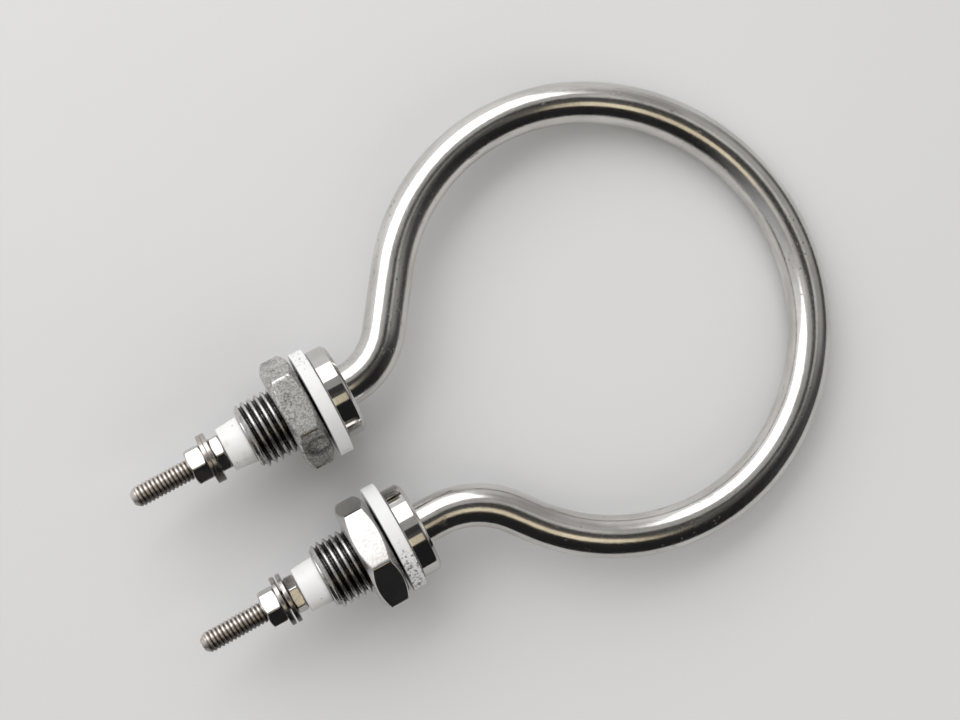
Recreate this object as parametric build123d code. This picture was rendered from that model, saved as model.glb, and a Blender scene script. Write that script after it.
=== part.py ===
from build123d import *
import os
from dataclasses import dataclass
from math import atan2, cos, hypot, pi, radians, sin, sqrt, tan

# Tubular heating element: a filled steel tube bent into a flat loop, with a flanged,
# threaded bushing, a gasket, a nut, a ceramic insulator and a screw terminal on each leg.
#
# Frame, in millimetres: the legs run along X, the loop lies in the XY plane at +X, and the
# terminals point to -X. The origin is midway between the two legs, in the plane of the
# flange faces that press on the gaskets. The left leg is the one at +Y.

# Heated tube: an S-bend leads from each leg into the loop
sheath_diameter = 10.0
sheath_wall = 0.8
leg_spacing = 36.0
loop_end_radius = 52.7          # of the arc at the loop's far end, to the tube's centreline
loop_side_radius = 47.6         # of the arc on each side, which carries the loop back to a run
loop_end_angle = 60.0           # degrees each way from +X to where the end arc meets a side arc
left_straight = 0.2             # from the flange to the start of the bend
left_bend_radius = 17.0         # to the tube's centreline
left_run = 14.3                 # straight tube between the bend and the loop
right_straight = 4.1
right_bend_radius = 20.7
right_run = 5.1

# Bushing: flange and threaded shank turned in one piece, brazed on the tube
shank_diameter = 16.0
shank_length = 20.0
shank_chamfer = 1.2
flange_lip = 3.0                # how far the flange stands out past the shank
flange_thickness = 5.0
flange_front_chamfer = 0.4
flange_back_chamfer = 0.8
braze_gap = 0.05                # radial, between the tube and the bushing

# Gasket: loose on the shank, so that both hang a little towards each other
gasket_clearance = 0.7          # radial, round the shank
gasket_width = 4.3              # radial width of the ring
gasket_thickness = 3.2
gasket_shift = 0.6
gasket_round = 0.3

# Mounting nut on the shank, with its chamfer at 30 degrees on both ends
mounting_nut_flats = 24.0
mounting_nut_thickness = 7.0
mounting_nut_face = 22.8        # diameter of the flat that the chamfer leaves
mounting_nut_gap = 0.7          # from the gasket
left_mounting_nut_turn = -4.0   # degrees about the leg, from one flat facing up
right_mounting_nut_turn = -16.0
nut_chamfer_angle = 30.0
thread_gap = 0.05               # radial, between a nut and the thread in it
lead_in = 0.6                   # countersink at each end of a nut's thread

# Ceramic insulator: a tapered collar on the mouth of the tube, and a neck inside it
collar_length = 5.5
collar_tip_diameter = 10.5
collar_seat_diameter = 11.4
collar_chamfer = 0.3
neck_length = 4.0
neck_gap = 0.1                  # radial, between the neck and the tube

# Terminal pin: a threaded stud outside and a plain cold pin inside the tube
stud_diameter = 5.0
stud_tip_diameter = 2.7
stud_tip_length = 1.5
left_stud_showing = 14.6        # past the outer terminal nut
right_stud_showing = 15.6
stud_depth = 3.2                # how far the stud goes into the ceramic collar
cold_pin_diameter = 3.2
cold_pin_end = 3.0              # x where the pin ends and the heating coil begins
pin_clearance = 0.15            # radial, in the ceramic and in the washers

# Terminal nuts and washers
terminal_nut_flats = 8.0
terminal_nut_face = 7.6
inner_nut_thickness = 2.7
outer_nut_thickness = 4.0
left_inner_nut_turn = -23.0
right_inner_nut_turn = 11.0
left_outer_nut_turn = -20.0
right_outer_nut_turn = -20.0
washer_diameter = 12.0
washer_thickness = 1.0
washer_chamfer = 0.15
left_washer_slack = 0.0         # between the two washers
right_washer_slack = 0.5

# What the tube holds
seal_length = 3.0
fill_gap = 0.05                 # radial, round the powder and the seals
coil_diameter = 4.2             # over the wound heating wire


@dataclass
class Leg:
    """One leg of the element: the values in which the left and right ends differ."""
    name: str
    side: int
    straight: float
    bend_radius: float
    run: float
    mounting_nut_turn: float
    inner_nut_turn: float
    outer_nut_turn: float
    washer_slack: float
    stud_showing: float


left = Leg("left", 1, left_straight, left_bend_radius, left_run, left_mounting_nut_turn,
           left_inner_nut_turn, left_outer_nut_turn, left_washer_slack, left_stud_showing)
right = Leg("right", -1, right_straight, right_bend_radius, right_run, right_mounting_nut_turn,
            right_inner_nut_turn, right_outer_nut_turn, right_washer_slack, right_stud_showing)

# Sizes that follow from the ones above
sheath_radius = sheath_diameter / 2
sheath_bore_radius = sheath_radius - sheath_wall
shank_radius = shank_diameter / 2
flange_radius = shank_radius + flange_lip
stud_radius = stud_diameter / 2
cold_pin_radius = cold_pin_diameter / 2
collar_end = -shank_length - collar_length
neck_end = -shank_length + neck_length
seal_end = neck_end + seal_length
shoulder = collar_end + stud_depth
nut_face_x = -gasket_thickness - mounting_nut_gap


def leg_y(leg):
    return leg.side * leg_spacing / 2


def polar(centre, radius, angle):
    """The point at a radius and an angle from a centre, in the XY plane."""
    return (centre[0] + radius * cos(angle), centre[1] + radius * sin(angle))


def bend_centre(leg):
    return (flange_thickness + leg.straight, leg_y(leg) + leg.side * leg.bend_radius)


def end_angle(leg):
    return leg.side * radians(loop_end_angle)


def loop_centre():
    """The centre of the loop's end arc, at the place that gives both runs their lengths."""
    back = loop_side_radius - loop_end_radius
    left_x, left_y = polar(bend_centre(left), back, end_angle(left))
    right_x, right_y = polar(bend_centre(right), back, end_angle(right))
    left_reach = hypot(loop_side_radius + left.bend_radius, left.run)
    right_reach = hypot(loop_side_radius + right.bend_radius, right.run)
    across_x = right_x - left_x
    across_y = right_y - left_y
    apart = hypot(across_x, across_y)
    along = (left_reach**2 - right_reach**2 + apart**2) / (2 * apart)
    ahead = sqrt(left_reach**2 - along**2)
    return (left_x + (along * across_x - ahead * across_y) / apart,
            left_y + (along * across_y + ahead * across_x) / apart)


def leg_and_side(leg, centre, start_x):
    """One leg's straight, bend and run with the side arc, and where that meets the end arc."""
    pivot = bend_centre(leg)
    side_centre = polar(centre, loop_end_radius - loop_side_radius, end_angle(leg))
    towards_side = atan2(side_centre[1] - pivot[1], side_centre[0] - pivot[0])
    swing = atan2(leg.run, loop_side_radius + leg.bend_radius)
    last = towards_side - leg.side * swing
    first = -leg.side * pi / 2
    side_middle = (last + leg.side * pi + end_angle(leg)) / 2
    bend_from = polar(pivot, leg.bend_radius, first)
    bend_to = polar(pivot, leg.bend_radius, last)
    side_from = polar(side_centre, -loop_side_radius, last)
    side_to = polar(centre, loop_end_radius, end_angle(leg))
    edges = [
        Line((start_x, leg_y(leg)), bend_from),
        ThreePointArc(bend_from, polar(pivot, leg.bend_radius, (first + last) / 2), bend_to),
        Line(bend_to, side_from),
        ThreePointArc(side_from, polar(side_centre, loop_side_radius, side_middle), side_to),
    ]
    return edges, side_to


def centreline(start_x):
    """The tube's centreline from the left leg round to the right, starting at x = start_x."""
    centre = loop_centre()
    left_edges, left_join = leg_and_side(left, centre, start_x)
    right_edges, right_join = leg_and_side(right, centre, start_x)
    far_end = polar(centre, loop_end_radius, 0)
    end_arc = ThreePointArc(left_join, far_end, right_join)
    return Wire(left_edges + [end_arc] + right_edges)


def bent_rod(radius, start_x):
    """A round rod that follows the centreline and ends flat at x = start_x in both legs."""
    profile = Plane.YZ * Pos(leg_y(left), 0) * Circle(radius)
    return sweep(Pos(start_x, 0, 0) * profile, path=centreline(start_x))


def turned(*points):
    """A solid turned about the X axis from its half section, given as (x, radius) points."""
    return revolve(make_face(Polyline(*points, close=True)), Axis.X)


def ring(start_x, end_x, bore_radius, outer_radius, chamfer):
    """A washer-like ring with the same chamfer on its two outer edges."""
    return turned(
        (start_x, bore_radius),
        (start_x, outer_radius - chamfer),
        (start_x + chamfer, outer_radius),
        (end_x - chamfer, outer_radius),
        (end_x, outer_radius - chamfer),
        (end_x, bore_radius),
    )


def sleeve(start_x, end_x, bore_radius, outer_radius):
    return turned(
        (start_x, bore_radius),
        (start_x, outer_radius),
        (end_x, outer_radius),
        (end_x, bore_radius),
    )


def rod(start_x, end_x, radius):
    return sleeve(start_x, end_x, 0, radius)


def hexagon_nut(start_x, thickness, flats, face_diameter, thread_radius, turn):
    """A hexagon nut chamfered on both ends, turned about X from one flat facing up."""
    corner_radius = flats / 2 / cos(radians(30))
    face_radius = face_diameter / 2
    slope = (corner_radius - face_radius) * tan(radians(nut_chamfer_angle))
    end_x = start_x + thickness
    bore_radius = thread_radius + thread_gap
    prism = extrude(Plane.YZ * RegularPolygon(corner_radius, 6), thickness)
    limits = turned(
        (start_x, 0),
        (start_x, face_radius),
        (start_x + slope, corner_radius),
        (end_x - slope, corner_radius),
        (end_x, face_radius),
        (end_x, 0),
    )
    thread = turned(
        (start_x, 0),
        (start_x, bore_radius + lead_in),
        (start_x + lead_in, bore_radius),
        (end_x - lead_in, bore_radius),
        (end_x, bore_radius + lead_in),
        (end_x, 0),
    )
    return Rot(X=turn) * (Pos(start_x, 0, 0) * prism & limits) - thread


def bushing():
    bore_radius = sheath_radius + braze_gap
    return turned(
        (-shank_length, bore_radius),
        (-shank_length, shank_radius - shank_chamfer),
        (-shank_length + shank_chamfer, shank_radius),
        (0, shank_radius),
        (0, flange_radius - flange_front_chamfer),
        (flange_front_chamfer, flange_radius),
        (flange_thickness - flange_back_chamfer, flange_radius),
        (flange_thickness, flange_radius - flange_back_chamfer),
        (flange_thickness, bore_radius),
    )


def gasket():
    bore_radius = shank_radius + gasket_clearance
    return ring(-gasket_thickness, 0, bore_radius, bore_radius + gasket_width, gasket_round)


def ceramic_insulator():
    collar_tip_radius = collar_tip_diameter / 2
    collar_seat_radius = collar_seat_diameter / 2
    neck_radius = sheath_bore_radius - neck_gap
    body = turned(
        (collar_end, 0),
        (collar_end, collar_tip_radius - collar_chamfer),
        (collar_end + collar_chamfer, collar_tip_radius),
        (-shank_length - collar_chamfer, collar_seat_radius),
        (-shank_length, collar_seat_radius - collar_chamfer),
        (-shank_length, neck_radius),
        (neck_end, neck_radius),
        (neck_end, 0),
    )
    stud_hole = rod(collar_end, shoulder, stud_radius + pin_clearance)
    pin_hole = rod(shoulder, neck_end, cold_pin_radius + pin_clearance)
    return body - stud_hole - pin_hole


def end_seal():
    return sleeve(neck_end, seal_end, cold_pin_radius + fill_gap, sheath_bore_radius - fill_gap)


def terminal_pin(tip_x):
    return turned(
        (tip_x, 0),
        (tip_x, stud_tip_diameter / 2),
        (tip_x + stud_tip_length, stud_radius),
        (shoulder, stud_radius),
        (shoulder, cold_pin_radius),
        (cold_pin_end, cold_pin_radius),
        (cold_pin_end, 0),
    )


def washer(start_x):
    bore_radius = stud_radius + pin_clearance
    end_x = start_x + washer_thickness
    return ring(start_x, end_x, bore_radius, washer_diameter / 2, washer_chamfer)


def terminal_nut(start_x, thickness, turn):
    return hexagon_nut(start_x, thickness, terminal_nut_flats, terminal_nut_face, stud_radius, turn)


def fitting(leg):
    """Every piece on one leg, from the flange out to the terminal, on the X axis."""
    inner_nut_x = collar_end - inner_nut_thickness
    inner_washer_x = inner_nut_x - washer_thickness
    outer_washer_x = inner_washer_x - leg.washer_slack - washer_thickness
    outer_nut_x = outer_washer_x - outer_nut_thickness
    mounting_nut_x = nut_face_x - mounting_nut_thickness
    return {
        "bushing": bushing(),
        "gasket": Pos(0, -leg.side * gasket_shift, 0) * gasket(),
        "mounting_nut": hexagon_nut(mounting_nut_x, mounting_nut_thickness, mounting_nut_flats,
                                    mounting_nut_face, shank_radius, leg.mounting_nut_turn),
        "ceramic_insulator": ceramic_insulator(),
        "end_seal": end_seal(),
        "terminal_pin": terminal_pin(outer_nut_x - leg.stud_showing),
        "inner_terminal_nut": terminal_nut(inner_nut_x, inner_nut_thickness, leg.inner_nut_turn),
        "inner_washer": washer(inner_washer_x),
        "outer_washer": washer(outer_washer_x),
        "outer_terminal_nut": terminal_nut(outer_nut_x, outer_nut_thickness, leg.outer_nut_turn),
    }


def tube_and_filling():
    """The sheath, and the coil and the powder inside it, all on the same centreline."""
    pin_room = rod(seal_end, cold_pin_end, cold_pin_radius + fill_gap)
    powder = bent_rod(sheath_bore_radius - fill_gap, seal_end)
    powder -= bent_rod(coil_diameter / 2 + fill_gap, cold_pin_end)
    for leg in (left, right):
        powder -= Pos(0, leg_y(leg), 0) * pin_room
    return {
        "sheath": bent_rod(sheath_radius, -shank_length) - bent_rod(sheath_bore_radius, -shank_length),
        "insulating_powder": powder,
        "resistance_coil": bent_rod(coil_diameter / 2, cold_pin_end),
    }


pieces = tube_and_filling()
for leg in (left, right):
    for name, shape in fitting(leg).items():
        pieces[f"{leg.name}_{name}"] = Pos(0, leg_y(leg), 0) * shape

os.makedirs("parts", exist_ok=True)
for node, shape in pieces.items():
    export_step(shape, f"parts/{node}.step")
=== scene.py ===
from dataclasses import dataclass
from math import atan2, ceil, cos, floor, hypot, pi, radians, sin, sqrt, tan

import bmesh
import bpy
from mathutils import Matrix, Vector, noise


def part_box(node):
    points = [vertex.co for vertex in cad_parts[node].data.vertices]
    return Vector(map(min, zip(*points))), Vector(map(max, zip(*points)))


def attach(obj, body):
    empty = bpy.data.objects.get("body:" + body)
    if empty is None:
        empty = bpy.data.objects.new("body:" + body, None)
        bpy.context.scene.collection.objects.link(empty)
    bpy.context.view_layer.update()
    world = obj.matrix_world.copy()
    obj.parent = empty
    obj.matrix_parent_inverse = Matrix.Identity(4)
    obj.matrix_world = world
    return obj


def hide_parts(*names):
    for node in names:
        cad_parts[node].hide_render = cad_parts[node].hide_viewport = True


# Looks of a tubular heating element. Everything is in metres in the row frame: the legs run
# along X, the loop lies in the XY plane at +X, and the terminals point to -X.
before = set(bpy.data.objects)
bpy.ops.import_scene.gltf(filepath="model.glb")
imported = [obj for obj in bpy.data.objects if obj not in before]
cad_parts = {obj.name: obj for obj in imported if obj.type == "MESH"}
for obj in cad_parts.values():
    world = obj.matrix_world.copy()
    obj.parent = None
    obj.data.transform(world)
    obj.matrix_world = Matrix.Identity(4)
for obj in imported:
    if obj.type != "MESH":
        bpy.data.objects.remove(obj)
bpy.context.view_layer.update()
MM = 0.001

# Camera, as the photograph shows the part
CAMERA_PLACE = Vector((-18.15, -4.29, 343.9)) * MM
CAMERA_TURN = (radians(6.133), radians(-6.756), radians(-28.878))
CAMERA_LENS = 56.25
CAMERA_SENSOR = 36.0
CAMERA_CLIP = (0.005, 20)

# Centreline of the bent tube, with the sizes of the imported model
LEG_SPACING = 36.0 * MM
LOOP_END_RADIUS = 52.7 * MM
LOOP_SIDE_RADIUS = 47.6 * MM
LOOP_END_ANGLE = radians(60)
SHEATH_WALL = 0.8 * MM

# Bushing
SHANK_RADIUS = 8.0 * MM
SHANK_CHAMFER = 1.2 * MM
FLANGE_RADIUS = 11.0 * MM
FLANGE_FRONT_CHAMFER = 0.4 * MM
FLANGE_BACK_CHAMFER = 0.8 * MM
BUSHING_BORE = 5.05 * MM
BUSHING_EDGE = 0.12 * MM        # how far the flange's corners are rounded
UNDERCUT_LENGTH = 1.0 * MM      # between the thread and the flange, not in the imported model
UNDERCUT_DEPTH = 0.9 * MM

# Terminal pin: a threaded stud in front, a plain cold pin behind
STUD_RADIUS = 2.5 * MM
STUD_TIP_RADIUS = 1.35 * MM
STUD_TIP_LENGTH = 1.5 * MM
STUD_TIP_EDGE = 0.5 * MM
STUD_THREAD_START = 0.3 * MM    # from the tip
STUD_DEPTH = 3.2 * MM           # how far the stud goes into the ceramic
COLD_PIN_RADIUS = 1.6 * MM
ON_AXIS = 1e-6                  # radius of a ring that stands for a point on the axis

# Ceramic, gasket and washers
CERAMIC_TIP_RADIUS = 5.25 * MM
CERAMIC_SEAT_RADIUS = 5.7 * MM
CERAMIC_NECK_RADIUS = 4.1 * MM
STUD_HOLE_RADIUS = 2.65 * MM
PIN_HOLE_RADIUS = 1.75 * MM
GASKET_BORE = 8.7 * MM

# Threads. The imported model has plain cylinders, so the pitches are the photograph's.
SHANK_PITCH = 1.65 * MM
SHANK_THREAD_DEPTH = 1.0 * MM
STUD_PITCH = 0.975 * MM
STUD_THREAD_DEPTH = 0.32 * MM
NUT_THREAD_GAP = 0.05 * MM
NUT_LEAD_IN = 0.6 * MM
NUT_CHAMFER_ANGLE = radians(30)

# Corners of the floor sheet, across and up the picture from its centre. It ends close below the
# part, so that low reflections on the -Y side see the dark room.
FLOOR_CENTRE = (0.037, 0.009, 0)
FLOOR_CORNERS = [(-0.70, -0.105), (0.70, -0.105), (0.70, 0.70), (-0.70, 0.70)]
FLOOR_CLEARANCE = 0.05 * MM

# How finely the pieces are meshed
ROW_STEP = 0.25 * MM
SHEATH_STEP = 0.9 * MM
SHEATH_SEGMENTS = 96
THREAD_ROWS = 14                # rows for each turn of a thread


@dataclass
class Leg:
    """What differs between the two legs. The turns are those of its nuts, in degrees."""
    name: str
    side: int
    straight: float
    bend_radius: float
    run: float
    mounting_turn: float
    inner_turn: float
    outer_turn: float


LEFT = Leg("left", side=1, straight=0.2 * MM, bend_radius=17.0 * MM, run=14.3 * MM,
           mounting_turn=-4.0, inner_turn=-23.0, outer_turn=-20.0)
RIGHT = Leg("right", side=-1, straight=4.1 * MM, bend_radius=20.7 * MM, run=5.1 * MM,
            mounting_turn=-16.0, inner_turn=11.0, outer_turn=-20.0)


@dataclass
class NutSize:
    """What differs between the two kinds of nut. The face is the flat that its chamfer leaves."""
    flats: float
    face: float
    thread_radius: float
    edge: float
    segments: int


MOUNTING_NUT = NutSize(flats=24 * MM, face=22.8 * MM, thread_radius=SHANK_RADIUS,
                       edge=0.35 * MM, segments=360)
TERMINAL_NUT = NutSize(flats=8 * MM, face=7.6 * MM, thread_radius=STUD_RADIUS,
                       edge=0.22 * MM, segments=240)


# ---------------------------------------------------------------- meshes

def smooth_min(a, b, blend):
    """The smaller of two values, rounded off where they are nearly the same."""
    near = max(blend - abs(a - b), 0.0) / blend
    return min(a, b) - near * near * blend / 4


def rounded(outline, radius, closed, steps=5):
    """An outline of (x, r) points with each corner turned into a small arc."""
    points = []
    count = len(outline)
    most_of_side = 0.45
    for i, point in enumerate(outline):
        if not closed and i in (0, count - 1):
            points.append(point)
            continue
        here = Vector(point)
        before = Vector(outline[i - 1]) - here
        after = Vector(outline[(i + 1) % count]) - here
        reach = min(radius, before.length * most_of_side, after.length * most_of_side)
        start = here + before.normalized() * reach
        end = here + after.normalized() * reach
        for k in range(steps + 1):
            t = k / steps
            bezier = start * (1 - t)**2 + here * 2 * t * (1 - t) + end * t**2
            points.append((bezier.x, bezier.y))
    return points


def straight_points(start, end, step):
    """Points from one place to just short of another, none further apart than the step."""
    across, up = end[0] - start[0], end[1] - start[1]
    parts = max(1, ceil(hypot(across, up) / step))
    return [(start[0] + across * k / parts, start[1] + up * k / parts) for k in range(parts)]


def divided(outline, step, closed):
    """The same outline with more points, none further apart than the step."""
    points = []
    for start, end in zip(outline, outline[1:] + outline[:1] if closed else outline[1:]):
        points += straight_points(start, end, step)
    return points if closed else points + [outline[-1]]


def grid_object(name, rings, close_rows, cap_ends=False):
    """A mesh of rings of points, each joined to the next. cap_ends closes both ends with a fan."""
    count = len(rings[0])
    points = [p for ring in rings for p in ring]
    faces = []
    last = len(rings) if close_rows else len(rings) - 1
    for i in range(last):
        a, b = i * count, ((i + 1) % len(rings)) * count
        for j in range(count):
            k = (j + 1) % count
            faces.append((a + j, b + j, b + k, a + k))
    if cap_ends:
        for ring_start, flip in ((0, True), ((len(rings) - 1) * count, False)):
            ring = points[ring_start:ring_start + count]
            centre = sum((Vector(p) for p in ring), Vector()) / count
            hub = len(points)
            points.append(tuple(centre))
            for j in range(count):
                k = (j + 1) % count
                face = (ring_start + j, ring_start + k, hub)
                faces.append(face if flip else face[::-1])
    mesh = bpy.data.meshes.new(name)
    mesh.from_pydata(points, [], faces)
    mesh.update()
    mesh.shade_smooth()
    piece = bpy.data.objects.new(name, mesh)
    bpy.context.scene.collection.objects.link(piece)
    return piece


def face_outwards(piece):
    """Turns the faces of a closed piece outwards."""
    work = bmesh.new()
    work.from_mesh(piece.data)
    bmesh.ops.recalc_face_normals(work, faces=work.faces)
    work.to_mesh(piece.data)
    work.free()
    piece.data.shade_smooth()


def turned_piece(name, outline, centre, shape, segments, closed=True):
    """A piece turned about an axis along X through centre, (y, z). shape(x, r, angle) gives the
    radius that a point ends up at, and the attribute "cut" keeps how far that lowers the point,
    in millimetres. An outline that isn't closed starts and ends on the axis."""
    rings = []
    cuts = []
    for x, r in outline:
        ring = []
        for j in range(segments):
            angle = 2 * pi * j / segments
            radius = shape(x, r, angle)
            cuts.append((r - radius) / MM)
            ring.append((x, centre[0] + radius * cos(angle), centre[1] + radius * sin(angle)))
        rings.append(ring)
    piece = grid_object(name, rings, close_rows=closed, cap_ends=not closed)
    cuts += [0.0] * (len(piece.data.vertices) - len(cuts))
    piece.data.attributes.new("cut", "FLOAT", "POINT").data.foreach_set("value", cuts)
    face_outwards(piece)
    return piece


# ---------------------------------------------------------------- the bent tube

def leg_y(leg):
    return leg.side * LEG_SPACING / 2


def polar(centre, radius, angle):
    return (centre[0] + radius * cos(angle), centre[1] + radius * sin(angle))


def bend_centre(leg):
    flange_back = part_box(f"{leg.name}_bushing")[1].x
    return (flange_back + leg.straight, leg_y(leg) + leg.side * leg.bend_radius)


def end_angle(leg):
    return leg.side * LOOP_END_ANGLE


def loop_centre():
    """The centre of the loop's end arc, at the place that gives both runs their lengths."""
    back = LOOP_SIDE_RADIUS - LOOP_END_RADIUS
    left_x, left_y = polar(bend_centre(LEFT), back, end_angle(LEFT))
    right_x, right_y = polar(bend_centre(RIGHT), back, end_angle(RIGHT))
    left_reach = hypot(LOOP_SIDE_RADIUS + LEFT.bend_radius, LEFT.run)
    right_reach = hypot(LOOP_SIDE_RADIUS + RIGHT.bend_radius, RIGHT.run)
    across_x, across_y = right_x - left_x, right_y - left_y
    apart = hypot(across_x, across_y)
    along = (left_reach**2 - right_reach**2 + apart**2) / (2 * apart)
    ahead = sqrt(left_reach**2 - along**2)
    return (left_x + (along * across_x - ahead * across_y) / apart,
            left_y + (along * across_y + ahead * across_x) / apart)


def arc_points(centre, radius, first, last, step):
    parts = max(1, ceil(abs(last - first) * abs(radius) / step))
    return [polar(centre, radius, first + (last - first) * k / parts) for k in range(parts)]


def leg_route(leg, centre, start_x, step):
    """The centreline of one leg with its side of the loop, up to where the end arc begins."""
    pivot = bend_centre(leg)
    side_centre = polar(centre, LOOP_END_RADIUS - LOOP_SIDE_RADIUS, end_angle(leg))
    towards_side = atan2(side_centre[1] - pivot[1], side_centre[0] - pivot[0])
    swing = atan2(leg.run, LOOP_SIDE_RADIUS + leg.bend_radius)
    last = towards_side - leg.side * swing
    first = -leg.side * pi / 2
    bend_from = polar(pivot, leg.bend_radius, first)
    bend_to = polar(pivot, leg.bend_radius, last)
    side_from = polar(side_centre, -LOOP_SIDE_RADIUS, last)
    points = straight_points((start_x, leg_y(leg)), bend_from, step)
    points += arc_points(pivot, leg.bend_radius, first, last, step)
    points += straight_points(bend_to, side_from, step)
    side_start = last + leg.side * pi
    return points + arc_points(side_centre, LOOP_SIDE_RADIUS, side_start, end_angle(leg), step)


def tube_route(start_x, step):
    """Points along the whole centreline, from the left end round the loop to the right end."""
    centre = loop_centre()
    end_arc = arc_points(centre, LOOP_END_RADIUS, end_angle(LEFT), end_angle(RIGHT), step)
    end_arc.append(polar(centre, LOOP_END_RADIUS, end_angle(RIGHT)))
    right_points = leg_route(RIGHT, centre, start_x, step)
    return leg_route(LEFT, centre, start_x, step) + end_arc + right_points[::-1]


def sheath_piece():
    """The tube, with its wall. Its attribute "straightened" holds where each point would be on
    a straight tube: the way along it, then towards the loop's inside, then up."""
    low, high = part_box("sheath")
    radius = high.z
    route = tube_route(low.x, SHEATH_STEP)
    angles = [2 * pi * j / SHEATH_SEGMENTS for j in range(SHEATH_SEGMENTS)]
    circle = [(cos(angle), sin(angle)) for angle in angles]
    outer, inner, stations = [], [], []
    travelled = 0.0
    for i, point in enumerate(route):
        before = Vector(route[max(i - 1, 0)])
        after = Vector(route[min(i + 1, len(route) - 1)])
        along = (after - before).normalized()
        side = Vector((along.y, -along.x, 0))
        if i:
            travelled += (Vector(point) - before).length
        stations.append(travelled)
        here = Vector((*point, 0))
        for rings, ring_radius in ((outer, radius), (inner, radius - SHEATH_WALL)):
            rings.append([tuple(here + (side * inwards + Vector((0, 0, up))) * ring_radius)
                          for inwards, up in circle])
    piece = grid_object("sheath_tube", outer + inner[::-1], close_rows=True)
    values = []
    for station in stations + stations[::-1]:
        for inwards, up in circle:
            values += [station, radius * inwards, radius * up]
    straightened = piece.data.attributes.new("straightened", "FLOAT_VECTOR", "POINT")
    straightened.data.foreach_set("vector", values)
    face_outwards(piece)
    return piece


# ---------------------------------------------------------------- turned pieces and nuts

def thread_cut(x, angle, pitch, start_x):
    """How deep a right-hand thread is cut at a place, from 0 on its crest to 1 at its root."""
    turn = (x - start_x) / pitch - angle / (2 * pi)
    from_crest = abs((turn - floor(turn)) * 2 - 1)
    crest, root = 0.16, 0.94
    depth = min(max((from_crest - crest) / (root - crest), 0.0), 1.0)
    return depth * depth * (3 - 2 * depth)


def threaded(radius, pitch, depth, start_x, end_x):
    """A shape for turned_piece: a thread between two places, on what is nearly that radius."""
    lowest = radius - depth * 1.5       # below this a point is no part of the thread

    def shape(x, r, angle):
        if not start_x <= x <= end_x or r < lowest:
            return r
        return min(r, radius - depth * thread_cut(x, angle, pitch, start_x))
    return shape


def thread_outline(start, end, pitch):
    """Closely spaced points from one (x, r) point to another, for a threaded stretch."""
    return divided([start, end], pitch / THREAD_ROWS, closed=False)


def bushing_piece(leg):
    """Flange and threaded shank in one. The thread runs from the chamfered end to the undercut."""
    low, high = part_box(f"{leg.name}_bushing")
    shank_end = (low.x, SHANK_RADIUS - SHANK_CHAMFER)
    full_thread = (low.x + SHANK_CHAMFER, SHANK_RADIUS)
    thread_end = (-UNDERCUT_LENGTH, SHANK_RADIUS)
    undercut = SHANK_RADIUS - UNDERCUT_DEPTH
    flange = rounded(
        [(0, undercut), (0, FLANGE_RADIUS - FLANGE_FRONT_CHAMFER),
         (FLANGE_FRONT_CHAMFER, FLANGE_RADIUS), (high.x - FLANGE_BACK_CHAMFER, FLANGE_RADIUS),
         (high.x, FLANGE_RADIUS - FLANGE_BACK_CHAMFER), (high.x, BUSHING_BORE),
         (low.x, BUSHING_BORE), shank_end],
        BUSHING_EDGE, closed=False)
    outline = divided(flange, ROW_STEP * 2, closed=False)
    outline += thread_outline(shank_end, full_thread, SHANK_PITCH)
    outline += thread_outline(full_thread, thread_end, SHANK_PITCH)
    outline.append((-UNDERCUT_LENGTH, undercut))
    shape = threaded(SHANK_RADIUS, SHANK_PITCH, SHANK_THREAD_DEPTH, low.x, -UNDERCUT_LENGTH)
    name = f"{leg.name}_threaded_bushing"
    return turned_piece(name, outline, (leg_y(leg), 0), shape, segments=144)


def terminal_pin_piece(leg):
    """Threaded stud with a rounded tip, and the plain cold pin behind it."""
    low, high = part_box(f"{leg.name}_terminal_pin")
    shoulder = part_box(f"{leg.name}_ceramic_insulator")[0].x + STUD_DEPTH
    tip = rounded([(low.x, 0), (low.x, STUD_TIP_RADIUS), (low.x + STUD_TIP_LENGTH, STUD_RADIUS),
                   (shoulder, STUD_RADIUS)], STUD_TIP_EDGE, closed=False)
    outline = divided(tip[:-1], STUD_PITCH / THREAD_ROWS, closed=False)
    outline += thread_outline(tip[-2], (shoulder, STUD_RADIUS), STUD_PITCH)[1:]
    outline += [(shoulder, COLD_PIN_RADIUS), (high.x, COLD_PIN_RADIUS), (high.x, 0)]
    outline = [(x, max(r, ON_AXIS)) for x, r in outline]
    shape = threaded(STUD_RADIUS, STUD_PITCH, STUD_THREAD_DEPTH, low.x + STUD_THREAD_START,
                     shoulder)
    name = f"{leg.name}_threaded_pin"
    return turned_piece(name, outline, (leg_y(leg), 0), shape, segments=72, closed=False)


def hexagon(apothem, turn, blend):
    """The radius of a hexagon at an angle, with rounded corners."""
    def radius(angle):
        from_flat = (angle - turn + pi / 6) % (pi / 3) - pi / 6
        near = apothem / cos(from_flat)
        neighbour = apothem / cos(pi / 3 - abs(from_flat))
        return smooth_min(near, neighbour, blend)
    return radius


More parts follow.
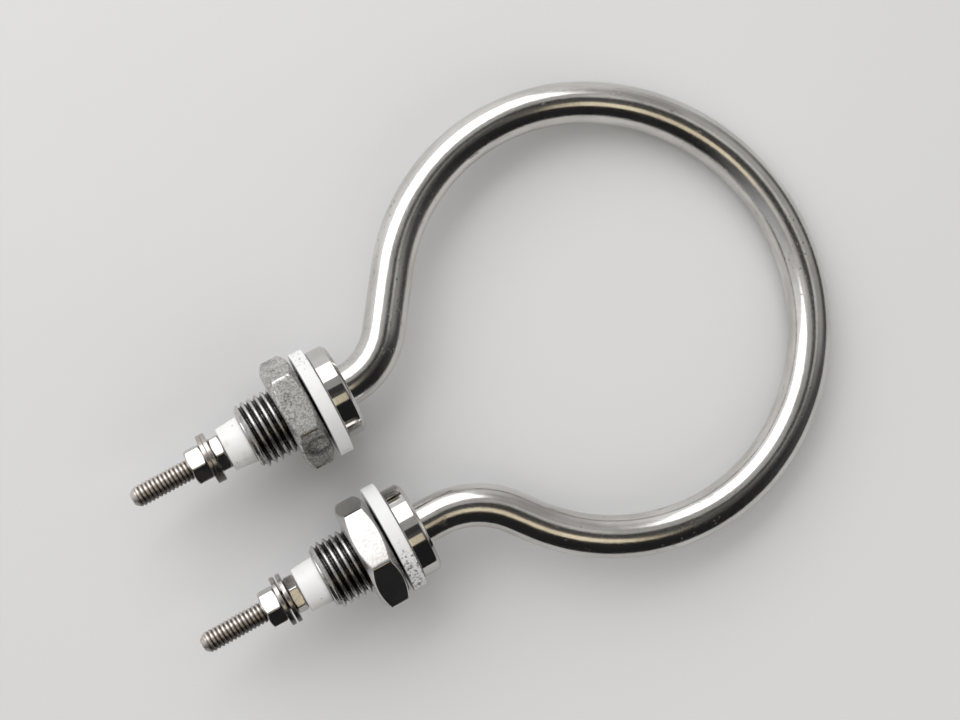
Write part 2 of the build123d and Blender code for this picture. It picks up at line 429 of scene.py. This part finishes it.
def nut_piece(node, leg, size, turn):
    """A hexagon nut, turned by some degrees from one flat facing up. Both ends are chamfered,
    its edges are soft, and its bore clears the thread in it."""
    low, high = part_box(node)
    start, end = low.x, high.x
    corner = size.flats / 2 / cos(radians(30))
    slope = (corner - size.face / 2) * tan(NUT_CHAMFER_ANGLE)
    bore = size.thread_radius + NUT_THREAD_GAP
    side = hexagon(size.flats / 2, radians(90 + turn), size.edge)
    corners = [(start, bore + NUT_LEAD_IN), (start, size.face / 2), (start + slope, corner),
               (end - slope, corner), (end, size.face / 2), (end, bore + NUT_LEAD_IN),
               (end - NUT_LEAD_IN, bore), (start + NUT_LEAD_IN, bore)]
    outline = divided(rounded(corners, size.edge * 0.6, closed=True), ROW_STEP, closed=True)

    def shape(x, r, angle):
        return smooth_min(r, side(angle), size.edge)

    name = node.replace("_nut", "_hexagon")
    return turned_piece(name, outline, (leg_y(leg), 0), shape, size.segments)


def soft_ring(name, centre, outline, edge, wobble, segments):
    """A turned ring whose outline wanders a little, as a moulded or stamped one does."""
    fine = divided(rounded(outline, edge, closed=True), ROW_STEP, closed=True)
    lump_length = 4 * MM
    lumps_round = 1.7
    shift = 10                  # in the noise, for each millimetre of radius

    def shape(x, r, angle):
        place = Vector((x / lump_length, cos(angle) * lumps_round,
                        sin(angle) * lumps_round + shift * r / MM))
        return r - wobble * (0.5 + 0.5 * noise.noise(place))

    return turned_piece(name, fine, centre, shape, segments)


def flat_ring(node, bore, edge, wobble, segments):
    """A gasket or washer that fills the box of its CAD node."""
    low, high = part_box(node)
    outer = (high.y - low.y) / 2
    centre = ((low.y + high.y) / 2, (low.z + high.z) / 2)
    outline = [(low.x, bore), (low.x, outer), (high.x, outer), (high.x, bore)]
    return soft_ring(f"{node}_ring", centre, outline, edge, wobble, segments)


def gasket_piece(leg):
    return flat_ring(f"{leg.name}_gasket", GASKET_BORE, edge=0.22 * MM, wobble=0.05 * MM,
                     segments=144)


def washer_piece(leg, place):
    return flat_ring(f"{leg.name}_{place}_washer", STUD_HOLE_RADIUS, edge=0.18 * MM,
                     wobble=0.04 * MM, segments=96)


def ceramic_piece(leg):
    """A tapered collar that sits on the shank's end, with a neck inside the tube."""
    low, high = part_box(f"{leg.name}_ceramic_insulator")
    shank_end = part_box(f"{leg.name}_bushing")[0].x
    shoulder = low.x + STUD_DEPTH
    outline = [(low.x, STUD_HOLE_RADIUS), (low.x, CERAMIC_TIP_RADIUS),
               (shank_end, CERAMIC_SEAT_RADIUS), (shank_end, CERAMIC_NECK_RADIUS),
               (high.x, CERAMIC_NECK_RADIUS), (high.x, PIN_HOLE_RADIUS),
               (shoulder, PIN_HOLE_RADIUS), (shoulder, STUD_HOLE_RADIUS)]
    return soft_ring(f"{leg.name}_ceramic_collar", (leg_y(leg), 0), outline, edge=0.35 * MM,
                     wobble=0.04 * MM, segments=120)


# ---------------------------------------------------------------- materials

class Nodes:
    """Short ways to make and join the nodes of one tree. Most give back an output socket."""

    def __init__(self, tree):
        self.tree = tree

    def add(self, kind, **settings):
        node = self.tree.nodes.new(kind)
        for key, value in settings.items():
            setattr(node, key, value)
        return node

    def feed(self, socket, value):
        """Sets an input to a number or a colour, or joins an output to it."""
        if isinstance(value, (int, float)):
            socket.default_value = value
        elif isinstance(value, tuple):
            socket.default_value = (*value, 1.0)
        else:
            self.tree.links.new(value, socket)

    def place(self, attribute=None):
        """Coordinates in metres: the object's own, or a named attribute of the mesh."""
        if attribute:
            return self.add("ShaderNodeAttribute", attribute_name=attribute).outputs["Vector"]
        return self.add("ShaderNodeTexCoord").outputs["Object"]

    def cut(self, low, high):
        """From 0 to 1 as a turned piece is cut from one depth to another, in millimetres."""
        depth = self.add("ShaderNodeAttribute", attribute_name="cut").outputs["Fac"]
        return self.ranged(depth, low, high)

    def along(self, axis, low, high, place=None):
        """From 0 to 1 between two places along an axis, in metres."""
        split = self.add("ShaderNodeSeparateXYZ")
        self.feed(split.inputs[0], place or self.place())
        return self.ranged(split.outputs[axis], low, high)

    def below(self, leg, start, end):
        """From 0 to 1 between two distances from a leg's axis, on its -Y side."""
        return self.along("Y", leg_y(leg) - start, leg_y(leg) - end)

    def distance(self, centre):
        """How far a place is from a point, in metres."""
        node = self.add("ShaderNodeVectorMath", operation="DISTANCE")
        node.inputs[1].default_value = centre
        self.feed(node.inputs[0], self.place())
        return node.outputs["Value"]

    def scaled(self, place, scale):
        """Coordinates times one number, or times one for each axis."""
        node = self.add("ShaderNodeMapping")
        node.inputs["Scale"].default_value = scale if isinstance(scale, tuple) else (scale,) * 3
        self.feed(node.inputs["Vector"], place)
        return node.outputs["Vector"]

    def noise(self, place, scale, detail, roughness, distortion=0.0):
        """Cloudy noise, mostly between 0.3 and 0.7. The scale is as for scaled."""
        node = self.add("ShaderNodeTexNoise")
        node.inputs["Scale"].default_value = 1.0
        node.inputs["Detail"].default_value = detail
        node.inputs["Roughness"].default_value = roughness
        node.inputs["Distortion"].default_value = distortion
        self.feed(node.inputs["Vector"], self.scaled(place, scale))
        return node.outputs["Fac"]

    def spots(self, place, scale, low, high):
        """1 inside scattered round spots and 0 outside."""
        node = self.add("ShaderNodeTexVoronoi")
        node.inputs["Scale"].default_value = 1.0
        self.feed(node.inputs["Vector"], self.scaled(place, scale))
        return self.ranged(node.outputs["Distance"], low, high, 1, 0)

    def ranged(self, value, from_low, from_high, to_low=0, to_high=1, smooth=True):
        """A value carried from one range to another, and kept inside it."""
        node = self.add("ShaderNodeMapRange")
        node.interpolation_type = "SMOOTHSTEP" if smooth else "LINEAR"
        node.inputs["From Min"].default_value = from_low
        node.inputs["From Max"].default_value = from_high
        node.inputs["To Min"].default_value = to_low
        node.inputs["To Max"].default_value = to_high
        self.feed(node.inputs["Value"], value)
        return node.outputs["Result"]

    def spread(self, clouds, low, high):
        """Noise spread out between two values."""
        return self.ranged(clouds, 0.3, 0.7, low, high)

    def math(self, operation, a, b=0):
        node = self.add("ShaderNodeMath", operation=operation)
        self.feed(node.inputs[0], a)
        self.feed(node.inputs[1], b)
        return node.outputs[0]

    def plus(self, a, b):
        return self.math("ADD", a, b)

    def times(self, *values):
        """The product of two or more values."""
        product = values[-1]
        for value in reversed(values[:-1]):
            product = self.math("MULTIPLY", value, product)
        return product

    def blend(self, share, first, second):
        """Mixes two colours. Each is a colour or a socket."""
        node = self.add("ShaderNodeMix", data_type="RGBA")
        share_in, first_in, second_in = node.inputs[0], node.inputs[6], node.inputs[7]
        self.feed(share_in, share)
        self.feed(first_in, first)
        self.feed(second_in, second)
        return node.outputs[2]

    def bump(self, height, distance, strength, normal=None):
        node = self.add("ShaderNodeBump")
        node.inputs["Distance"].default_value = distance
        self.feed(node.inputs["Strength"], strength)
        self.feed(node.inputs["Height"], height)
        if normal:
            self.feed(node.inputs["Normal"], normal)
        return node.outputs["Normal"]


class MaterialNodes(Nodes):
    """The nodes of one new material."""

    def __init__(self, name):
        self.material = bpy.data.materials.new(name)
        self.material.use_nodes = True
        super().__init__(self.material.node_tree)

    def finish(self, colour, roughness, normal=None, metallic=0.0):
        """Gives the looks to the shader, and gives back the material."""
        shader = self.tree.nodes["Principled BSDF"]
        shader.inputs["Metallic"].default_value = metallic
        self.feed(shader.inputs["Base Color"], colour)
        self.feed(shader.inputs["Roughness"], roughness)
        if normal:
            self.feed(shader.inputs["Normal"], normal)
        return self.material


def sheath_material():
    """Drawn stainless tube: fine lines along it, small pits, and brown stains, which are
    stronger towards the loop's inside."""
    n = MaterialNodes("drawn_stainless")
    place = n.place("straightened")
    light, dark = (0.74, 0.72, 0.695), (0.55, 0.53, 0.505)
    brown, pit_colour = (0.20, 0.165, 0.14), (0.07, 0.055, 0.045)
    lines = n.noise(place, (60, 2600, 2600), 5, 0.65)
    grain = n.noise(place, (1500, 2600, 2600), 3, 0.7)
    clouds = n.noise(place, (60, 220, 220), 4, 0.6)
    stains = n.ranged(n.noise(place, (130, 420, 420), 5, 0.65), 0.60, 0.74)
    pit_field = n.ranged(n.noise(place, (45, 160, 160), 2, 0.5), 0.52, 0.66)
    pits = n.times(n.spots(place, (700, 900, 900), 0.10, 0.20), pit_field)
    inwards = n.ranged(n.along("Y", 0.5 * MM, 4.2 * MM, place), 0, 1, 0.25, 0.9)
    steel = n.blend(n.spread(clouds, 0, 1), light, dark)
    steel = n.blend(n.times(stains, inwards), steel, brown)
    steel = n.blend(n.times(pits, 0.85), steel, pit_colour)
    rough = n.plus(n.spread(grain, 0.11, 0.21), n.times(stains, 0.18))
    normal = n.bump(lines, 0.02 * MM, 0.5)
    normal = n.bump(grain, 0.012 * MM, 0.6, normal)
    normal = n.bump(n.math("SUBTRACT", 1.0, pits), 0.06 * MM, 0.8, normal)
    return n.finish(steel, rough, normal, metallic=1.0)


def bushing_material():
    """A polished flange and a duller shank; old oil, dirt and painted shade darken the thread."""
    n = MaterialNodes("turned_stainless")
    place = n.place()
    flange_light, flange_dark = (0.60, 0.585, 0.565), (0.34, 0.32, 0.30)
    shank_light, shank_dark = (0.62, 0.605, 0.59), (0.32, 0.305, 0.29)
    # This colour is dirt together with painted shade, for the thread's roots.
    dirt_colour = (0.035, 0.032, 0.030)
    shank = n.along("X", 0.2 * MM, -0.2 * MM)
    rings = n.noise(place, (5200, 260, 260), 4, 0.6)
    patches = n.ranged(n.noise(place, 420, 5, 0.65), 0.45, 0.70)
    fine = n.noise(place, 3600, 3, 0.6)
    grain = n.noise(place, 1500, 4, 0.7)
    # Dirt and painted shade darken the thread's roots: the deeper the cut, the darker.
    dirt = n.times(n.cut(0.22, 0.85), n.ranged(grain, 0.25, 0.6, 0.75, 1.0))
    flange_steel = n.blend(n.times(patches, 0.18), flange_light, flange_dark)
    shank_steel = n.blend(n.times(patches, 0.7), shank_light, shank_dark)
    shank_steel = n.blend(dirt, shank_steel, dirt_colour)
    steel = n.blend(shank, flange_steel, shank_steel)
    rough = n.plus(n.spread(fine, 0.05, 0.10), n.times(shank, n.spread(grain, 0.12, 0.30)))
    normal = n.bump(rings, 0.012 * MM, 0.5)
    normal = n.bump(grain, 0.02 * MM, n.times(shank, 0.8), normal)
    return n.finish(steel, rough, normal, metallic=1.0)


def stud_material(leg):
    """Rolled thread, brownish and dull, with dirt and painted shade in its roots, and painted
    shade on its lower side.
    """
    n = MaterialNodes(f"{leg.name}_thread_rolled_steel")
    place = n.place()
    light, dark = (0.70, 0.645, 0.60), (0.38, 0.335, 0.305)
    # The first colour is dirt with painted shade, for the roots; the second is painted shade for
    # the lower side.
    dirt_colour, lower_shade_colour = (0.045, 0.036, 0.031), (0.06, 0.05, 0.045)
    patches = n.ranged(n.noise(place, 500, 5, 0.65), 0.45, 0.75)
    grain = n.noise(place, 2400, 4, 0.7)
    # Dirt and painted shade darken the thread's roots.
    dirt = n.times(n.cut(0.12, 0.31), n.ranged(grain, 0.25, 0.6, 0.65, 0.95))
    # Painted shade: the stud's lower (-Y) side is darkened in its colour.
    lower_side_shade = n.times(n.below(leg, 0.6 * MM, 2.3 * MM), 0.75)
    steel = n.blend(n.times(patches, 0.6), light, dark)
    steel = n.blend(dirt, steel, dirt_colour)
    steel = n.blend(lower_side_shade, steel, lower_shade_colour)
    normal = n.bump(grain, 0.015 * MM, 0.6)
    return n.finish(steel, n.spread(grain, 0.24, 0.38), normal, metallic=1.0)


def washer_material(leg):
    """Stamped steel: fine rings round the axis, darker marks in patches, and painted shade on the
    lower side."""
    n = MaterialNodes(f"{leg.name}_stamped_steel")
    place = n.place()
    light, dark = (0.50, 0.465, 0.44), (0.22, 0.20, 0.185)
    # This colour is painted shade for the washer's lower side.
    lower_shade_colour = (0.05, 0.045, 0.042)
    rings = n.noise(place, (5200, 260, 260), 4, 0.6)
    patches = n.ranged(n.noise(place, 420, 5, 0.65), 0.50, 0.72)
    fine = n.noise(place, 3600, 3, 0.6)
    # Painted shade: the washer's lower (-Y) side is darkened in its colour.
    lower_side_shade = n.times(n.below(leg, 2.5 * MM, 4.8 * MM), 0.85)
    steel = n.blend(n.times(patches, 0.6), light, dark)
    steel = n.blend(lower_side_shade, steel, lower_shade_colour)
    rough = n.plus(n.spread(fine, 0.20, 0.32), n.times(patches, 0.15))
    normal = n.bump(rings, 0.012 * MM, 0.6)
    normal = n.bump(fine, 0.012 * MM, 0.35, normal)
    return n.finish(steel, rough, normal, metallic=1.0)


def nut_material(name, light, dark, rough, grain_height, mottled, ring=None):
    """Forged or tumbled steel: a granular face with mottled patches, and a dark ring-shaped
    mark round a place if one is given."""
    n = MaterialNodes(name)
    place = n.place()
    mark_colour = (0.05, 0.046, 0.042)
    grain = n.noise(place, 2100, 4, 0.75)
    patches = n.noise(place, 420, 5, 0.7)
    scratches = n.noise(place, (300, 2600, 2600), 3, 0.6, 0.4)
    mottle = n.plus(n.ranged(grain, 0.42, 0.60, 0, 0.62), n.ranged(patches, 0.46, 0.64, 0, 0.38))
    steel = n.blend(n.times(mottle, mottled), light, dark)
    if ring:
        uneven = n.ranged(patches, 0.3, 0.7, -0.7 * MM, 0.7 * MM, smooth=False)
        away = n.plus(n.distance(ring), uneven)
        inner_side = n.ranged(away, 0.8 * MM, 2.7 * MM, 0.15, 0.85)
        outer_side = n.ranged(away, 2.8 * MM, 4.0 * MM, 1, 0)
        mark = n.times(n.times(inner_side, outer_side), n.ranged(grain, 0.35, 0.6, 0.6, 1))
        steel = n.blend(mark, steel, mark_colour)
    normal = n.bump(grain, grain_height, 0.8)
    normal = n.bump(scratches, grain_height * 0.4, 0.5, normal)
    return n.finish(steel, n.spread(patches, *rough), normal, metallic=1.0)


def gasket_material(name, clean_y, dirty_y, dirt_share):
    """White moulded rubber with specks of dirt, from few at one place across it to many at
    another."""
    n = MaterialNodes(name)
    place = n.place()
    light, dark, dirt_colour = (0.81, 0.81, 0.81), (0.74, 0.74, 0.735), (0.07, 0.07, 0.068)
    fine = n.noise(place, 2600, 4, 0.6)
    clouds = n.noise(place, 260, 3, 0.5)
    specks = n.noise(place, 1350, 5, 0.75)
    share = n.times(n.along("Y", clean_y, dirty_y), dirt_share)
    dirt = n.ranged(n.plus(specks, share), 0.66, 0.76)
    white = n.blend(clouds, light, dark)
    white = n.blend(n.times(dirt, 0.9), white, dirt_colour)
    return n.finish(white, n.spread(fine, 0.50, 0.68), n.bump(fine, 0.03 * MM, 0.6))


def ceramic_material(leg):
    """Unglazed steatite: fine-grained white, with a few small dark specks and painted shade on the
    lower side."""
    n = MaterialNodes(f"{leg.name}_white_steatite")
    place = n.place()
    light, dark = (0.83, 0.83, 0.825), (0.76, 0.755, 0.75)
    # The second colour is painted shade for the collar's lower side.
    stain_colour, low_shade_colour = (0.50, 0.47, 0.43), (0.40, 0.375, 0.35)
    speck_colour = (0.20, 0.17, 0.15)
    fine = n.noise(place, 3000, 4, 0.6)
    clouds = n.noise(place, 300, 4, 0.55)
    specks = n.spots(place, 420, 0.06, 0.11)
    stain = n.ranged(n.noise(place, 240, 4, 0.6), 0.56, 0.72)
    # Painted shade: the collar's lower (-Y) side is darkened, in mottled patches.
    painted_low_shade = n.times(n.below(leg, 3.2 * MM, 5.2 * MM), n.spread(clouds, 0.3, 0.75))
    white = n.blend(clouds, light, dark)
    white = n.blend(n.times(stain, 0.35), white, stain_colour)
    white = n.blend(painted_low_shade, white, low_shade_colour)
    white = n.blend(n.times(specks, 0.7), white, speck_colour)
    return n.finish(white, n.spread(clouds, 0.34, 0.50), n.bump(fine, 0.02 * MM, 0.5))


def inner_material(name, light, dark, scale, roughness, metallic=0.0):
    """For what lies inside the tube: a grainy mix of two tones."""
    n = MaterialNodes(name)
    grain = n.noise(n.place(), scale, 5, 0.7)
    rough = n.spread(grain, roughness - 0.08, roughness + 0.08)
    return n.finish(n.blend(grain, light, dark), rough, n.bump(grain, 0.03 * MM, 0.6), metallic)


# ---------------------------------------------------------------- scene

def dress(piece, node, material):
    """Makes a piece stand for a CAD node, on the one body and material."""
    piece.data.materials.append(material)
    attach(piece, "root")
    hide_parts(node)


def dress_nut(node, leg, size, turn, material):
    dress(nut_piece(node, leg, size, turn), node, material)


def paint(node, material):
    """Gives a CAD node that stays as it is a better material."""
    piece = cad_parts[node]
    for index in range(len(piece.material_slots)):
        piece.material_slots[index].material = material


def build_element():
    dress(sheath_piece(), "sheath", sheath_material())
    bushing_steel = bushing_material()
    mounting_nut_steel = {
        "left": nut_material("tumbled_nut_steel", (0.76, 0.75, 0.73), (0.08, 0.076, 0.072),
                             rough=(0.28, 0.42), grain_height=0.05 * MM, mottled=0.9,
                             ring=(-6.6 * MM, 8.6 * MM, 7.6 * MM)),
        "right": nut_material("bright_nut_steel", (0.66, 0.64, 0.63), (0.42, 0.40, 0.39),
                              rough=(0.12, 0.22), grain_height=0.010 * MM, mottled=0.5),
    }
    terminal_nut_steel = nut_material(
        "bright_small_nut_steel", (0.62, 0.60, 0.58), (0.40, 0.38, 0.36),
        rough=(0.14, 0.26), grain_height=0.015 * MM, mottled=0.6)
    gasket_rubber = {
        "left": gasket_material("white_rubber", clean_y=23.5 * MM, dirty_y=27 * MM,
                                dirt_share=0.11),
        "right": gasket_material("dirt_specked_white_rubber", clean_y=-14 * MM, dirty_y=-25 * MM,
                                 dirt_share=0.17),
    }
    seal = inner_material("sealing_compound", (0.60, 0.56, 0.48), (0.42, 0.39, 0.33),
                          scale=900, roughness=0.6)
    for leg in (LEFT, RIGHT):
        name = leg.name
        dress(bushing_piece(leg), f"{name}_bushing", bushing_steel)
        dress(gasket_piece(leg), f"{name}_gasket", gasket_rubber[name])
        dress_nut(f"{name}_mounting_nut", leg, MOUNTING_NUT, leg.mounting_turn,
                  mounting_nut_steel[name])
        dress(ceramic_piece(leg), f"{name}_ceramic_insulator", ceramic_material(leg))
        dress(terminal_pin_piece(leg), f"{name}_terminal_pin", stud_material(leg))
        washer_steel = washer_material(leg)
        for place, turn in (("inner", leg.inner_turn), ("outer", leg.outer_turn)):
            dress_nut(f"{name}_{place}_terminal_nut", leg, TERMINAL_NUT, turn,
                      terminal_nut_steel)
            dress(washer_piece(leg, place), f"{name}_{place}_washer", washer_steel)
        paint(f"{name}_end_seal", seal)
    paint("insulating_powder",
          inner_material("packed_magnesia", (0.78, 0.76, 0.70), (0.66, 0.64, 0.58),
                         scale=1500, roughness=0.8))
    paint("resistance_coil",
          inner_material("nickel_chrome_wire", (0.34, 0.32, 0.31), (0.22, 0.21, 0.20),
                         scale=2200, roughness=0.45, metallic=1.0))


def floor_material():
    n = MaterialNodes("pale_floor")
    clouds = n.noise(n.place(), 9, 3, 0.5)
    pale = n.blend(clouds, (0.66, 0.66, 0.66), (0.64, 0.64, 0.645))
    return n.finish(pale, n.spread(clouds, 0.55, 0.65))


def make_floor():
    """A pale sheet under the part, at the small slope at which the part comes to rest on it."""
    nut_low, nut_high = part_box("right_mounting_nut")
    tube_low, tube_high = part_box("sheath")
    rise = (tube_low.z - nut_low.z) / (tube_high.x - tube_high.z - nut_high.x)
    across = Vector((cos(CAMERA_TURN[2]), sin(CAMERA_TURN[2]), 0))
    upwards = Vector((-across.y, across.x, 0))
    corners = []
    for sideways, up in FLOOR_CORNERS:
        place = Vector(FLOOR_CENTRE) + across * sideways + upwards * up
        place.z = nut_low.z + rise * (place.x - nut_high.x) - FLOOR_CLEARANCE
        corners.append(tuple(place))
    mesh = bpy.data.meshes.new("floor")
    mesh.from_pydata(corners, [], [(0, 1, 2, 3)])
    mesh.materials.append(floor_material())
    floor_sheet = bpy.data.objects.new("floor", mesh)
    bpy.context.scene.collection.objects.link(floor_sheet)


def softbox(name, azimuth, elevation, width, height, radiance):
    """A rectangular lamp that faces the part from a direction in degrees."""
    target = Vector((0.045, 0, 0))
    distance = 0.8
    a, e = radians(azimuth), radians(elevation)
    away = Vector((cos(a) * cos(e), sin(a) * cos(e), sin(e)))
    lamp = bpy.data.lights.new(name, "AREA")
    lamp.shape = "RECTANGLE"
    lamp.size = width
    lamp.size_y = height
    lamp.energy = radiance * pi * width * height
    piece = bpy.data.objects.new(name, lamp)
    piece.location = target + away * distance
    piece.rotation_mode = "QUATERNION"
    piece.rotation_quaternion = away.to_track_quat("Z", "Y")
    bpy.context.scene.collection.objects.link(piece)
    return piece


def make_lamps():
    """One lamp that shows in the steel, and two that only light the white pieces and the floor."""
    softbox("key_softbox", azimuth=100, elevation=41, width=1.06, height=0.62, radiance=2.0)
    top = softbox("top_softbox", azimuth=100, elevation=76, width=0.9, height=0.9, radiance=0.5)
    fill = softbox("fill_softbox", azimuth=-85, elevation=35, width=1.1, height=0.7, radiance=1.3)
    top.visible_glossy = False
    fill.visible_glossy = False


def room_colour(n, x, y, z):
    """What the room shows in a direction (x, y, z). It is light on the +Y side, dark on the -Y
    side and grey overhead, with a pale ground that carries on from the floor sheet."""
    sideways = n.ranged(n.math("SUBTRACT", y, n.times(x, 0.3)), -0.35, 0.9)
    dark_side = n.blend(n.ranged(x, 0.3, 0.9), (0.018, 0.018, 0.019), (0.085, 0.085, 0.087))
    room = n.blend(sideways, dark_side, (0.85, 0.85, 0.86))

    window = n.times(n.ranged(x, 0.35, 0.65), n.ranged(z, 0.30, 0.55), n.ranged(y, -0.50, -0.15))
    room = n.blend(window, room, (0.42, 0.415, 0.41))

    ceiling = n.blend(n.ranged(y, -0.10, 0.12), (0.085, 0.083, 0.081), (0.42, 0.416, 0.41))
    ends = n.times(n.ranged(n.math("ABSOLUTE", x), 0.18, 0.42), n.ranged(y, -0.26, -0.06),
                   n.ranged(y, 0.20, 0.42, 1, 0))
    ceiling = n.blend(ends, ceiling, (0.70, 0.69, 0.67))
    room = n.blend(n.ranged(z, 0.78, 0.90), room, ceiling)

    cream_strip = n.times(n.ranged(z, 0.815, 0.84), n.ranged(z, 0.955, 0.965, 1, 0),
                          n.ranged(x, 0.02, 0.16, 1, 0), n.ranged(y, -0.12, -0.10, 1, 0))
    room = n.blend(cream_strip, room, (0.97, 0.86, 0.64))

    dark_overhead = n.times(n.ranged(n.math("ABSOLUTE", y), 0.11, 0.15, 1, 0),
                            n.ranged(x, -0.14, -0.10), n.ranged(x, 0.28, 0.38, 1, 0),
                            n.ranged(z, 0.85, 0.90))
    room = n.blend(dark_overhead, room, (0.05, 0.05, 0.05))

    horizon = n.ranged(y, -0.7, -0.3, -0.17, 0.0)       # lower on the dark side
    ground = n.ranged(n.math("SUBTRACT", z, horizon), -0.15, -0.11, 1, 0)
    return n.blend(ground, room, (0.64, 0.64, 0.635))


def make_world():
    world = bpy.data.worlds.new("studio")
    world.use_nodes = True
    bpy.context.scene.world = world
    world.node_tree.nodes.clear()
    n = Nodes(world.node_tree)
    direction = n.add("ShaderNodeSeparateXYZ")
    n.feed(direction.inputs[0], n.add("ShaderNodeTexCoord").outputs["Generated"])
    background = n.add("ShaderNodeBackground")
    n.feed(background.inputs["Color"], room_colour(n, *direction.outputs))
    n.feed(n.add("ShaderNodeOutputWorld").inputs["Surface"], background.outputs[0])


def make_camera():
    camera = bpy.data.cameras.new("camera")
    camera.lens = CAMERA_LENS
    camera.sensor_width = CAMERA_SENSOR
    camera.clip_start, camera.clip_end = CAMERA_CLIP
    piece = bpy.data.objects.new("camera", camera)
    piece.location = CAMERA_PLACE
    piece.rotation_euler = CAMERA_TURN
    bpy.context.scene.collection.objects.link(piece)
    bpy.context.scene.camera = piece


make_camera()
build_element()
make_floor()
make_world()
make_lamps()
bpy.context.scene.view_settings.view_transform = "Standard"
